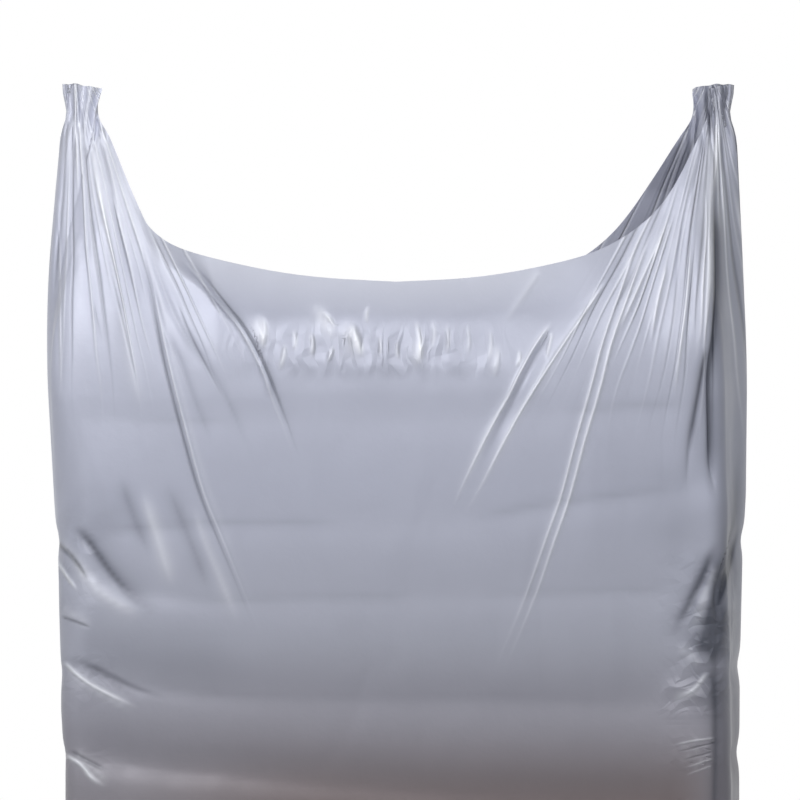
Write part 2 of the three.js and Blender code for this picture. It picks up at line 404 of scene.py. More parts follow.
# folds of the front panel by place: height and width in mm, lean, tapers at the two ends, then the line
leftFolds = [
    (-1.5, 3, 0, (0.2, 0.5), beside("leftValley", 2)),
    (-1.0, 3.6, 0, (0.15, 0.5), beside("longCrease")),
    (0.8, 3.0, 0, (0.15, 0.5), beside("longCrease", 9, -2)),
    (-0.8, 3.2, 0, (0.1, 0.5), [77, 122, 79, 180, 80, 225, 85, 270, 89, 315, 92, 360]),
    (-0.7, 3.0, 0, (0.1, 0.5), [85, 122, 89, 180, 95, 228, 101, 270, 108, 330]),
    (-1.4, 3.4, 0, (0.08, 0.4), [96, 122, 109, 180, 118, 228, 130, 276, 142, 318, 157, 360]),
    (-1.3, 3.2, 0, (0.08, 0.4), [103, 124, 119, 180, 130, 222, 140, 252, 149, 282, 160, 315, 181, 360]),
    (0.9, 3.0, 0, (0.1, 0.5), [90, 122, 100, 190, 109, 250, 122, 310, 134, 370]),
    (-1.1, 3.4, 0, (0.2, 0.4), [128, 185, 145, 228, 160, 282, 175, 318, 199, 357, 222, 400]),
    (0.7, 3.5, 0, (0.2, 0.5), [136, 200, 160, 255, 182, 300, 206, 345, 226, 385]),
    (1.4, 6, 0, (0.2, 0.4), [120, 302, 128, 346, 135, 384, 143, 417]),
    (-1.4, 4, 0, (0.2, 0.4), [163, 328, 179, 359, 191, 392, 204, 425, 217, 455]),
    (-1.4, 4, 0, (0.2, 0.4), [176, 323, 199, 353, 219, 384, 235, 417, 253, 463]),
    (1.5, 6, 0, (0.3, 0.3), [190, 500, 206, 545, 222, 585, 240, 628]),
    (-1.3, 4, 0, (0.2, 0.3), [59, 205, 60, 333, 62, 410]),
]
lowerLeftFolds = [
    (-2.5, 9, 0.3, (0.2, 0.3), [74, 522, 94, 549, 115, 577, 138, 600, 160, 620]),
    (2.0, 8, 0, (0.3, 0.3), [64, 552, 90, 584, 118, 605, 150, 618]),
    (-2.2, 7, 0, (0.3, 0.3), [118, 476, 134, 520, 150, 562]),
    (2.2, 8, 0, (0.3, 0.3), [140, 488, 158, 540, 174, 592]),
    (-2.2, 7, 0, (0.3, 0.3), [164, 478, 180, 520, 196, 560, 210, 600]),
    (1.2, 4, 0, (0.2, 0.3), [61, 538, 77, 561, 88, 582]),
    (-1.1, 4, 0, (0.2, 0.3), [57, 551, 69, 587]),
    (1.2, 4, 0, (0.2, 0.3), [61, 607, 94, 628]),
    (-1.5, 4, 0, (0.1, 0.4), [66, 660, 84, 666, 110, 682, 143, 707]),
    (1.3, 4, 0, (0.1, 0.3), [66, 670, 79, 681, 107, 697, 135, 712]),
    (1.2, 5, 0, (0.2, 0.3), [69, 752, 87, 763, 110, 786]),
]
rightFolds = [
    (-1.8, 3.5, 0, (0.1, 0.4), [706, 128, 699, 158, 691, 179, 685, 209, 680, 250, 674, 310]),
    (2.6, 4, 0, (0.1, 0.4), beside("edgeRidge")),
    (-2.0, 3.5, 0, (0.1, 0.4), beside("edgeRidge", 8)[:4]),
    (1.4, 3.5, 0, (0.2, 0.4), [667, 220, 659, 241, 648, 266, 635, 295, 612, 345]),
    (1.3, 3.2, 0, (0.2, 0.4), beside("shortGather")),
    (1.6, 3.4, 0, (0.2, 0.4), beside("longGather")),
    (1.2, 2.6, 0, (0.2, 0.4), [705, 243, 703, 284, 699, 345, 694, 375]),
    (1.2, 2.6, 0, (0.2, 0.4), [671, 216, 663, 240, 655, 262]),
    (1.6, 3.2, 0, (0.1, 0.5), beside("doubleCrease")),
    (1.4, 3.0, 0, (0.15, 0.5), beside("doubleCrease", -9, -2)),
    (1.9, 3.8, 0, (0.1, 0.4), beside("mainFold")),
    (2.1, 3.8, 0, (0.1, 0.4), beside("secondFold")),
    (-2.2, 3.6, 0, (0.15, 0.45), [556, 328, 541, 348, 527, 374, 513, 402, 501, 424, 476, 474]),
    (1.0, 4, 0, (0.1, 0.4), [540, 270, 520, 300, 500, 330]),
    (-3, 4, 0.3, (0.12, 0.25), [
        715, 215, 717, 256, 717, 298, 712, 350, 713, 376, 714, 421, 714, 457, 718, 500,
    ]),
    (-9, 14, -0.4, (0.3, 0.3), [715, 330, 714, 376, 714, 421, 715, 470, 717, 510]),
    (-3, 3.4, 0, (0.1, 0.35), [708, 345, 705, 367, 699, 403, 692, 434, 689, 457, 687, 495]),
]
lowerRightFolds = [
    (-1.7, 4.5, 0, (0.2, 0.3), [712, 551, 701, 584, 680, 622]),
    (1.0, 7, 0, (0.2, 0.3), [718, 566, 709, 600, 690, 632]),
    (-1.7, 4, 0, (0.2, 0.3), [739, 533, 729, 566, 716, 594, 716, 610, 727, 620]),
    (-2.0, 6, 0, (0.3, 0.3), [712, 622, 713, 668]),
    (1.2, 4, 0, (0.3, 0.3), [676, 648, 691, 656, 705, 668]),
    (1.2, 5, 0, (0.3, 0.3), [670, 699, 690, 694, 708, 689]),
    (-2.6, 7, 0, (0.15, 0.02), [718, 560, 718, 640, 718, 720, 718, 820]),
    (0.7, 2.5, 0, (0.1, 0.5), [714, 735, 692, 742, 670, 752]),
    (0.7, 2.5, 0, (0.1, 0.5), [714, 742, 695, 752, 676, 766]),
    (0.7, 2.5, 0, (0.1, 0.5), [714, 750, 700, 762, 688, 774]),
]
crinkleBand = [
    (3.4, 6, -0.5, (0.45, 0.4), [258, 312, 261, 330, 266, 352]),
    (3.2, 6, -0.4, (0.45, 0.4), [314, 300, 324, 318, 336, 342]),
    (4.0, 6.5, -0.5, (0.45, 0.4), [346, 316, 354, 338, 365, 362]),
    (3.0, 4.6, -0.3, (0.45, 0.4), [420, 332, 420, 350, 416, 372]),
    (2.6, 4, -0.4, (0.45, 0.4), [496, 340, 499, 360, 494, 380]),
]
grooves = [  # between the layers of the filling, and where they run out at the left side
    (-2.0, 24, 0.25, (0.07, 0.07), [60, 408, 150, 416, 250, 420, 400, 420, 520, 414, 600, 409, 735, 402]),
    (-2.2, 24, 0.3, (0.07, 0.07), [
        60, 528, 100, 531, 200, 522, 300, 522, 400, 523, 470, 520, 560, 503, 640, 492, 738, 484,
    ]),
    (-2.8, 26, 0.4, (0.07, 0.07), [
        60, 572, 130, 588, 200, 599, 300, 597, 400, 596, 500, 594, 600, 590, 738, 588,
    ]),
    (-5.6, 36, 0.4, (0.07, 0.07), [
        60, 664, 130, 683, 200, 693, 300, 697, 400, 698, 480, 698, 560, 700, 620, 702, 690, 694, 738, 686,
    ]),
    (-8.0, 30, 0.5, (0.07, 0.07), [
        62, 748, 130, 766, 230, 774, 330, 784, 420, 794, 520, 800, 640, 803, 738, 804,
    ]),
    (-2.5, 16, 0.4, (0.05, 0.7), [58, 664, 100, 675, 150, 688, 220, 696, 300, 698]),
    (-2.5, 15.5, 0.4, (0.05, 0.7), [58, 572, 100, 582, 140, 592, 200, 603, 260, 606]),
    (-3.5, 16, 0.4, (0.05, 0.7), [58, 746, 110, 762, 160, 770, 240, 776, 320, 784]),
]
lowGrooves = [  # below the drawn view, so in mm: x, z, x, z ...
    (-4.5, 26, 0.25, (0.07, 0.07), [-358, 262, -120, 255, 130, 258, 365, 260]),
    (-4.5, 26, 0.25, (0.07, 0.07), [-358, 174, -120, 170, 130, 174, 365, 170]),
    (-4.5, 26, 0.25, (0.07, 0.07), [-358, 84, -120, 88, 130, 85, 365, 88]),
]
drawnFolds = leftFolds + lowerLeftFolds + rightFolds + lowerRightFolds + crinkleBand + grooves
frontFolds = [(*fold[:4], onPlane(fold[4])) for fold in drawnFolds] + lowGrooves

# fans of narrow ridges that spread from the two grips, as seen from the front; angles in degrees from
# straight down, lengths in mm
fans = {
    "left": {
        "apex": (-346.0, 1119.0),
        "angles": (-3.0, 19.0),
        "count": 9,
        "start": 90.0,
        "ends": (260.0, 420.0),
    },
    "right": {
        "apex": (341.0, 1085.0),
        "angles": (-15.0, 5.0),
        "count": 8,
        "start": 60.0,
        "ends": (220.0, 380.0),
    },
    "height": (0.4, 1.1),
    "width": (3.0, 6.0),
    "astray": (-0.35, 0.35),  # how far a ridge strays from its even place
    "bend": (-2.0, 2.0),  # and bends, in degrees, this far out
    "bendAt": 300.0,
    "peak": 0.3,  # makes the middle of a ridge as high as its height says
}


# a fan's ridge keeps its angle but for a slight bend; its width grows slowly with the distance from the grip
def fanHeight(x, z):
    out = np.zeros_like(x)
    fall, blunt = foldShape["fall"], foldShape["blunt"]
    for name in ("left", "right"):
        fan = fans[name]
        dx, dz = x - fan["apex"][0], fan["apex"][1] - z
        angle, far = np.degrees(np.arctan2(dx, dz)), np.hypot(dx, dz)
        for i in range(fan["count"]):
            at = np.interp((i + rng.uniform(*fans["astray"])) / (fan["count"] - 1), [0, 1], fan["angles"])
            height, width = rng.uniform(*fans["height"]), rng.uniform(*fans["width"])
            end = rng.uniform(*fan["ends"])
            bend = rng.uniform(*fans["bend"]) * (far / fans["bendAt"]) ** 2
            q = np.radians(angle - at - bend) * far / (width * (0.6 + far / fans["bendAt"]))
            ridge = height * np.exp(fans["peak"] - fall * np.sqrt(q * q + blunt))
            grown = smooth(fan["start"] * 0.5, fan["start"] * 1.5, far)
            out += ridge * grown * (1 - smooth(0.55 * end, end, far))
    return out


# fine creases: height, width, tapers at the two ends, then the line; two lists, so that no two lines of a
# list lie close together
fineCreases = [
    [
        (-1.5, 1.6, (0.35, 0.45), beside("leftValley")),
        (-1.1, 1.5, (0.25, 0.5), beside("longCrease")),
        (-0.8, 1.5, (0.2, 0.5), [96, 122, 109, 180, 118, 228, 128, 268, 136, 298]),
        (-0.7, 1.5, (0.25, 0.5), [176, 300, 190, 335, 206, 365, 226, 405]),
        (0.8, 1.6, (0.2, 0.4), [58, 190, 60, 260, 60, 333, 62, 410]),
        (0.9, 1.6, (0.1, 0.5), beside("doubleCrease")),
        (1.0, 1.6, (0.1, 0.4), beside("mainFold")),
        (0.9, 1.6, (0.2, 0.4), beside("longGather")),
        (1.0, 1.5, (0.15, 0.4), [706, 180, 707, 235, 703, 276, 701, 345]),
        (0.8, 1.5, (0.2, 0.4), beside("shortGather")),
        (-1.0, 5, (0.15, 0.4), [70, 523, 88, 541, 104, 565, 120, 586, 136, 602, 155, 618]),
        (1.4, 2.4, (0.1, 0.45), [63, 660, 77, 675, 102, 691, 139, 709]),
        (1.5, 2.2, (0.15, 0.35), [53, 556, 67, 577, 79, 592]),
        (1.6, 2.6, (0.15, 0.4), [64, 754, 82, 765, 91, 778, 107, 787]),
        (-1.2, 2, (0.2, 0.4), [60, 617, 76, 622, 93, 629]),
        (-0.8, 5, (0.2, 0.4), [719, 538, 703, 575, 686, 610, 668, 642]),
        (-1.2, 2.8, (0.2, 0.3), [740, 520, 731, 556, 722, 592, 717, 615]),
        (0.6, 1.3, (0.1, 0.5), [715, 738, 690, 742, 668, 746]),
        (-0.7, 1.3, (0.1, 0.5), [713, 752, 697, 757, 680, 761]),
        (0.5, 1.3, (0.1, 0.5), [712, 766, 698, 771, 684, 776]),
        (-0.5, 1.5, (0.3, 0.4), [84, 240, 92, 300, 104, 350]),
        (-0.6, 1.5, (0.3, 0.4), [110, 270, 124, 330, 140, 400]),
        (1.5, 3.0, (0.4, 0.4), [262, 314, 266, 330, 262, 350]),
        (1.2, 2.4, (0.4, 0.4), [293, 328, 296, 340, 294, 352]),
        (1.3, 2.4, (0.4, 0.4), [322, 310, 331, 320, 336, 330]),
        (1.2, 2.4, (0.4, 0.4), [333, 345, 331, 355, 327, 364]),
        (1.0, 2.4, (0.4, 0.4), [369, 305, 366, 315, 367, 325]),
        (1.0, 2.2, (0.4, 0.4), [379, 335, 381, 347, 379, 358]),
        (1.0, 2.2, (0.4, 0.4), [398, 338, 397, 350, 399, 362]),
        (0.8, 2.4, (0.4, 0.4), [432, 318, 435, 335, 431, 352]),
        (0.7, 2.4, (0.4, 0.4), [467, 322, 470, 340, 467, 358]),
        (1.2, 2.4, (0.4, 0.4), [519, 348, 520, 358, 516, 368]),
        (-1.0, 2.0, (0.4, 0.4), [345, 328, 351, 344, 354, 360]),
    ],
    [
        (0.9, 1.5, (0.15, 0.6), beside("leftValley", -5, 2)),
        (0.9, 1.4, (0.25, 0.5), beside("longCrease", 4, -1)),
        (0.6, 1.5, (0.2, 0.5), [100, 122, 113, 180, 122, 228, 132, 268, 140, 298]),
        (-2.0, 2.6, (0.1, 0.3), [54, 541, 73, 558, 88, 582]),
        (-1.0, 3.4, (0.2, 0.4), [78, 660, 104, 673, 136, 689, 168, 700]),
        (-1.4, 2.4, (0.2, 0.4), [68, 750, 90, 762, 110, 772]),
        (0.4, 4, (0.2, 0.4), [717, 562, 706, 590, 692, 620]),
        (0.9, 2.6, (0.2, 0.4), [708, 672, 695, 690, 676, 699]),
        (-0.7, 1.3, (0.1, 0.5), [716, 743, 694, 748, 674, 753]),
        (0.5, 1.3, (0.1, 0.5), [713, 758, 698, 764, 682, 769]),
        (0.9, 1.5, (0.15, 0.5), beside("doubleCrease", -9, -2)),
        (1.0, 1.6, (0.1, 0.4), beside("secondFold")),
        (0.9, 1.5, (0.2, 0.4), [710, 230, 711, 259, 710, 300, 702, 360]),
        (0.9, 1.6, (0.2, 0.4), [696, 180, 684, 228, 680, 257, 677, 300]),
        (0.8, 1.5, (0.2, 0.4), [667, 220, 659, 241, 648, 266, 635, 295, 618, 335]),
        (1.4, 2.6, (0.4, 0.4), [285, 342, 284, 355, 279, 372]),
        (1.4, 2.8, (0.4, 0.4), [309, 330, 314, 343, 311, 360]),
        (1.8, 3.4, (0.4, 0.4), [350, 322, 358, 338, 361, 358]),
        (1.6, 2.8, (0.4, 0.4), [415, 318, 421, 340, 418, 366]),
        (0.9, 2.4, (0.4, 0.4), [446, 322, 449, 340, 446, 356]),
        (0.8, 2.4, (0.4, 0.4), [489, 325, 492, 345, 487, 366]),
        (1.2, 2.2, (0.3, 0.4), [553, 330, 549, 345, 546, 362]),
    ],
]

# painted shade, in deep creases and other hollows where little light gets in: amount, width, tapers at the
# two ends, then the line
deepCreases = [
    (0.62, 7, (0.12, 0.2), [
        714, 195, 715, 225, 716, 256, 716, 298, 714, 350, 714, 376, 714, 421, 714, 460, 717, 500,
    ]),
    (0.45, 5.5, (0.25, 0.3), [708, 345, 703, 372, 697, 412, 690, 455]),
    (0.45, 9, (0.5, 0.3), [741, 430, 738, 480, 735, 515, 729, 552, 722, 590, 716, 622]),
    (0.26, 9, (0.3, 0.3), [719, 538, 704, 574, 687, 609, 669, 641]),
    (0.45, 14, (0.25, 0.2), [722, 548, 713, 590, 709, 630, 700, 662]),
    (0.36, 10, (0.15, 0.05), [706, 655, 716, 690, 716, 740, 716, 800, 716, 860]),
    (0.3, 12, (0.3, 0.3), [690, 656, 708, 660, 724, 660]),
    (0.1, 30, (0.3, 0.3), [674, 450, 669, 500, 664, 560]),
    (0.07, 26, (0.2, 0.3), [80, 500, 130, 514, 190, 524]),
    (0.08, 6, (0.2, 0.2), [64, 416, 150, 420, 240, 421]),
    (0.1, 6, (0.2, 0.2), [560, 413, 620, 406, 690, 402]),
    (0.12, 5, (0.2, 0.2), [90, 530, 150, 526, 220, 522, 300, 522, 355, 523]),
    (0.13, 6, (0.2, 0.2), [470, 518, 540, 505, 600, 496, 680, 488]),
    (0.1, 6, (0.2, 0.2), [150, 594, 220, 600, 300, 598, 420, 596]),
    (0.08, 6, (0.2, 0.2), [480, 594, 600, 590, 690, 588]),
    (0.5, 16, (0.25, 0.25), [719, 600, 713, 630, 705, 660]),
    (0.28, 16, (0.3, 0.4), [712, 664, 706, 690, 700, 720]),
    (0.1, 26, (0.15, 0.3), [62, 640, 110, 646, 180, 652, 260, 660]),
    (0.14, 22, (0.2, 0.4), [62, 503, 88, 518, 130, 540]),
    (0.14, 5, (0.3, 0.4), [72, 525, 92, 547, 112, 575, 136, 600]),
    (0.08, 5, (0.2, 0.2), [120, 682, 200, 694, 300, 698, 400, 698, 500, 697, 590, 699, 640, 703]),
    (0.1, 20, (0.1, 0.1), [60, 640, 130, 662, 200, 676, 300, 684, 400, 688, 520, 690, 620, 690, 690, 682]),
    (0.08, 16, (0.1, 0.1), [60, 728, 130, 744, 230, 754, 330, 764, 420, 772, 520, 778, 640, 782, 700, 782]),
]

# the folds stop between two heights; from which width on a fold is broad and leaves the colour alone; for the
# others the height that would paint a full highlight on a ridge or full shade in a crease, and the most that
# it does
foldPaintedLight = {"stop": (1020, 1055), "broadFrom": 12, "ridge": (7, 0.5), "crease": (9, 0.4), "mostShade": 0.85}


# all folds of one panel added up as its own viewer sees it, then how much highlight is painted along its
# ridges and how much shade in its creases
def panelFolds(p):
    x, z = seenFromFront(p)
    below = 1 - smooth(*foldPaintedLight["stop"], z)
    limit = foldPaintedLight["broadFrom"]
    fine = sum(foldHeight(x, z, *fold) for fold in frontFolds if fold[1] < limit) + fanHeight(x, z)
    wide = sum(foldHeight(x, z, *fold) for fold in frontFolds if fold[1] >= limit)
    shade = sum(foldHeight(x, z, *row[:2], 0.0, row[2], onPlane(row[3])) for row in deepCreases)
    (ridge, mostHighlight), (crease, mostDark) = foldPaintedLight["ridge"], foldPaintedLight["crease"]
    # painted highlight along the ridges; painted shade in the creases and from the deep creases
    white = np.clip(fine / ridge, 0, mostHighlight) * below
    shade = np.clip(shade + np.clip(-fine / crease, 0, mostDark), 0, foldPaintedLight["mostShade"]) * below
    return (fine + wide) * below, white, shade


# crinkled patches of the film as seen from the front: middle x, z, half width, half height, amount
crinkles = [
    (-340, 560, 28, 50, 0.3),
    (-335, 440, 35, 30, 0.4),
    (-330, 345, 35, 25, 0.2),
    (325, 530, 40, 45, 0.4),
    (325, 450, 35, 30, 0.5),
    (335, 490, 24, 40, 0.7),
    (318, 420, 35, 20, 0.6),
    (320, 365, 35, 20, 0.3),
]
flakes = [(-28, 793, 128, 25, 1.2)]  # upright flakes along the filling's front edge, in the same terms
# painted light along the cut edge: rows, share, how much less on the right and where that lessening sets in
rimPaintedLight = {"rows": 13, "share": 0.3, "lessRight": 0.7, "rightFrom": (100, 220)}
sideDips = {"levels": [88, 174, 262, 364, 456, 590], "width": 14.0, "depth": 3.0, "from": (0.72, 0.86)}
sideCalm = {"columns": (0.86, 1.0), "upTo": (760, 840)}
rightSideShade = {"from": (322, 342), "shade": 0.3}  # painted shade: this side, away from the light, is darker
halfTurn = np.array([-1, -1, 1])  # the back panel carries the same folds, turned half round the bag

# below the mouth the folds die out toward the side folds
calm = 1 - smooth(*sideCalm["columns"], np.abs(columnS)) * (1 - smooth(*sideCalm["upTo"], film[..., 2]))
lift, white, shade = np.zeros((3, *film.shape[:2]))
for panel, turn in ((isFront, 1), (~isFront, halfTurn)):
    lift[:, panel], white[:, panel], shade[:, panel] = panelFolds(film[:, panel] * turn)
# painted light: the film is palest along the cut edge, where light comes through with nothing behind it
nearRim = np.clip(np.arange(film.shape[0]) - film.shape[0] + rimPaintedLight["rows"], 0, None)[:, None]
nearRim = nearRim / rimPaintedLight["rows"]
paler = rimPaintedLight["share"] * nearRim * (1 - rimPaintedLight["lessRight"] * smooth(*rimPaintedLight["rightFrom"], film[..., 0]))
white[:, isFront] += paler[:, isFront]
lift, shade = lift * calm, shade * calm
# on the sides the film sinks in between the layers of the filling
dips = sum(np.exp(-(((film[..., 2] - level) / sideDips["width"]) ** 2)) for level in sideDips["levels"])
lift = lift - sideDips["depth"] * dips * smooth(*sideDips["from"], np.abs(columnS))
film = film + gridNormals(film) * lift[..., None]
print("folds", len(frontFolds))

# mesh: the weld under the base is one line that both panels share
frontN = bag["frontColumns"]
weld = np.stack([frontS * bag["weldHalf"], 0 * frontS, 0 * frontS], 1)
rowsN, colsN = film.shape[:2]
verts = np.concatenate([weld, film.reshape(-1, 3)])
ringId = frontN + 1 + np.arange(rowsN * colsN).reshape(rowsN, colsN)
ringNext = np.roll(ringId, -1, axis=1)
quads = np.stack([ringId[:-1], ringNext[:-1], ringNext[1:], ringId[1:]], -1).reshape(-1, 4)
weldId = np.arange(frontN + 1)
under = np.stack([weldId[:-1], weldId[1:], ringId[0, 1 : frontN + 1], ringId[0, :frontN]], 1)
backId = np.concatenate([ringId[0, frontN:], ringId[0, :1]])
w = weldId[::-1]  # the back panel has half the columns, so two steps along the weld meet one of its own
tris = np.concatenate([
    np.stack([w[0:-1:2], w[1::2], backId[:-1]], 1),
    np.stack([w[1::2], w[2::2], backId[1:]], 1),
    np.stack([w[1::2], backId[1:], backId[:-1]], 1),
])


def meshFrom(name, points, fours, threes):  # a smooth mesh of four- and three-sided faces, points in mm
    me = bpy.data.meshes.new(name)
    me.vertices.add(len(points))
    me.vertices.foreach_set("co", np.asarray(points * mm, np.float32).ravel())
    corners = np.concatenate([fours.ravel(), threes.ravel()]).astype(np.int32)
    sizes = np.concatenate([np.full(len(fours), 4), np.full(len(threes), 3)])
    me.loops.add(len(corners))
    me.loops.foreach_set("vertex_index", corners)
    me.polygons.add(len(sizes))
    me.polygons.foreach_set("loop_start", np.concatenate([[0], np.cumsum(sizes)[:-1]]).astype(np.int32))
    me.update(calc_edges=True)
    me.validate()
    me.polygons.foreach_set("use_smooth", np.ones(len(me.polygons), bool))
    ob = bpy.data.objects.new(name, me)
    bpy.context.scene.collection.objects.link(ob)
    return ob


bagFilm = meshFrom("bagFilm", verts, np.concatenate([quads, under]), tris)


def patches(spots):  # soft patches added up, each falling off as exp(-distance ** 4) both ways
    return sum(a * np.exp(-(((ownX - cx) / w) ** 4) - ((ownZ - cz) / h) ** 4) for cx, cz, w, h, a in spots)


# per point: angle and distance in the nearer fan, its painted highlight and painted shade, how crinkled,
# and its fine creases
ownX, ownZ = seenFromFront(verts * np.where(verts[:, 1:2] > 0, halfTurn, 1))
apexX, apexZ = (np.where(ownX < 0, fans["left"]["apex"][i], fans["right"]["apex"][i]) for i in (0, 1))
turned = np.arctan2(ownX - apexX, np.maximum(apexZ - ownZ, 1.0))
distance = np.hypot(ownX - apexX, apexZ - ownZ)
white, shade, calm = (np.concatenate([0 * frontS, v.ravel()]) for v in (white, shade, calm))
# painted shade on the right side, away from the light
darker = rightSideShade["shade"] * smooth(*rightSideShade["from"], verts[:, 0])
shade = np.clip(shade + darker, 0, foldPaintedLight["mostShade"])
layers = {"fanAngle": turned, "fanDistance": distance * mm, "whitened": white, "shaded": shade}
layers["crinkled"], layers["flaked"] = patches(crinkles) * calm, patches(flakes)
for name, rows in zip("AB", fineCreases):
    at, up = fineCrease(ownX, ownZ, rows)
    layers["fineAt" + name], layers["fineUp" + name] = at, up * calm
for name, values in layers.items():
    layer = bagFilm.data.attributes.new(name, "FLOAT", "POINT")
    layer.data.foreach_set("value", values.astype(np.float32))
print("film mesh", len(bagFilm.data.polygons))


# a node with its settings, and its inputs by name or number: a socket is linked, anything else is set
def addNode(t, kind, inputs=None, **settings):
    node = t.nodes.new(kind)
    for key, value in settings.items():
        setattr(node, key, value)
    for key, value in (inputs or {}).items():
        if isinstance(value, bpy.types.NodeSocket):
            t.links.new(value, node.inputs[key])
        else:
            node.inputs[key].default_value = value
    return node


def noiseNode(t, vector, scale, detail, **more):  # soft noise over a place
    return addNode(t, "ShaderNodeTexNoise", {"Vector": vector, "Scale": scale, "Detail": detail, **more})


def bumpNode(t, height, distance, under=None):  # height times distance, laid over the bumps under it
    below = {} if under is None else {"Normal": under}
    return addNode(t, "ShaderNodeBump", {"Height": height, "Distance": distance, **below}).outputs[0]


def linear(r, g, b):  # colour as written on screen, 0 to 255, to the shader's own scale
    v = np.array([r, g, b]) / 255
    return (*np.where(v <= 0.04045, v / 12.92, ((v + 0.055) / 1.055) ** 2.4), 1)


# look of the film: silver plastic, passing into the filling's colour where that shows through; lengths in m
filmValues = {
    "tones": [  # colour by height, paler upward: partly painted light from above, partly the filling showing through
        (0.00, (150, 150, 160)),
        (0.20, (144, 143, 152)),
        (0.30, (138, 135, 142)),
        (0.35, (138, 135, 142)),
        (0.42, (147, 146, 156)),
        (0.50, (164, 166, 179)),
        (0.65, (175, 178, 194)),
        (0.80, (183, 186, 202)),
        (1.00, (188, 191, 208)),
    ],
    "leftRaise": (-0.12, -0.3, 0.02),  # painted light: from one x to another, leftward, the tones sink by this, so the lit left side is paler
    "filling": (108, 92, 88),  # colour of the filling where it shows through low on the panels
    "fillingShare": 0.75,
    "fillingLevels": ((0.42, 0.3), (0.1, 0.28)),  # heights over which it sets in from above and from below
    "fillingAcross": ((-0.34, -0.06), (0.35, 0.28)),  # and places, from the left and from the right
    "fillingBack": (-0.05, 0.05, 0.3),  # from front to back it falls to this share
    "crease": (48, 52, 64),  # painted shade: colour in the deepest creases
    "ridge": (246, 248, 255),  # painted highlight: colour of the ridges
    "roughness": (0.38, 0.5),
    "glossPatch": (14.0, 3.0),  # scale and detail of the patches of gloss
    "glossRange": (0.3, 0.7),
    "metallic": 0.12,
    "specular": 0.3,
    "coat": 0.05,
    "coatRoughness": 0.22,
    "fanStep": 0.036,  # angle between two fine lines of a fan
    "fanLine": 0.0014,  # half width of a fine line
    "fanWander": (7.0, 5.0, 1.0),  # scale of the noise that bends the lines, over angle and distance
    "fanBend": 2.0,  # and how many steps it bends them by
    "lineApart": 3.7,  # every line has its own stretch of the noise that makes it come and go
    "lineScale": 5.0,
    "lineFade": (0.32, 0.52),
    "lineHeight": (-1.2, 1.8),  # deepest and highest line, mm
    "fanReach": (0.42, 0.2),  # the fans die out over these distances and angles
    "fanAngles": (0.58, 0.45),
    "creaseShade": 0.3,  # painted shade and painted highlight for each mm of a fine crease
    "ridgeWhite": 0.35,
    "wander": (30.0, 1.0, 0.02),  # scale and detail of the noise that bends the facets, and how far
    "flakes": 0.0034,  # height of the upright flakes
    "flakeCells": ((72.0, 2.0, 17.0), 0.12),  # how many to the metre each way, and how they are turned
    "crumple": 0.0035,  # height of the facets where the film is crinkled
    "crumpleCells": ((40.0, 40.0, 55.0), 0.5),
    "ripple": 0.0004,  # height of the faint ripple everywhere
    "rippleNoise": (60.0, 4.0, 0.55),  # its scale, detail and roughness
    "swell": 0.005,  # height of the slow hollows everywhere
    "swellScale": (17.0, 17.0, 7.0),
    "swellTwist": 0.4,
}
filmLook = bpy.data.materials.new("silverFilm")
filmLook.use_nodes = True
tree = filmLook.node_tree
shader = tree.nodes["Principled BSDF"]
shader.inputs["Metallic"].default_value = filmValues["metallic"]
shader.inputs["Specular IOR Level"].default_value = filmValues["specular"]
shader.inputs["Coat Weight"].default_value = filmValues["coat"]
shader.inputs["Coat Roughness"].default_value = filmValues["coatRoughness"]


def attribute(name):  # a value that each point of the film carries
    return addNode(tree, "ShaderNodeAttribute", attribute_name=name).outputs["Fac"]


def calc(operation, a, b=0.0, t=tree):  # one step of arithmetic on two values
    return addNode(t, "ShaderNodeMath", {0: a, 1: b}, operation=operation).outputs[0]


def ramp(value, lo, hi, least, most, t=tree):  # even rise from least at lo to most at hi
    return addNode(t, "ShaderNodeMapRange", {0: value, 1: lo, 2: hi, 3: least, 4: most}).outputs[0]


def ease(value, lo, hi, least=0.0, most=1.0, t=tree):  # eased step from least at lo to most at hi
    inputs = {0: value, 1: lo, 2: hi, 3: least, 4: most}
    return addNode(t, "ShaderNodeMapRange", inputs, interpolation_type="SMOOTHSTEP").outputs[0]


def bell(q):  # exp(-q * q)
    return calc("EXPONENT", calc("MULTIPLY", calc("MULTIPLY", q, q), -1.0))


place = addNode(tree, "ShaderNodeTexCoord").outputs["Object"]
xyz = addNode(tree, "ShaderNodeSeparateXYZ", {0: place}).outputs
raiseFrom, raiseTo, raised = filmValues["leftRaise"]
level = calc("ADD", xyz["Z"], ramp(xyz["X"], raiseFrom, raiseTo, 0.0, raised))
tone = addNode(tree, "ShaderNodeValToRGB", {0: level})
while len(tone.color_ramp.elements) < len(filmValues["tones"]):
    tone.color_ramp.elements.new(0.5)
for element, (at, rgb) in zip(tone.color_ramp.elements, filmValues["tones"]):
    element.position = at
    element.color = linear(*rgb)
patch = noiseNode(tree, place, *filmValues["glossPatch"]).outputs[0]
gloss = ramp(patch, *filmValues["glossRange"], *filmValues["roughness"])
tree.links.new(gloss, shader.inputs["Roughness"])

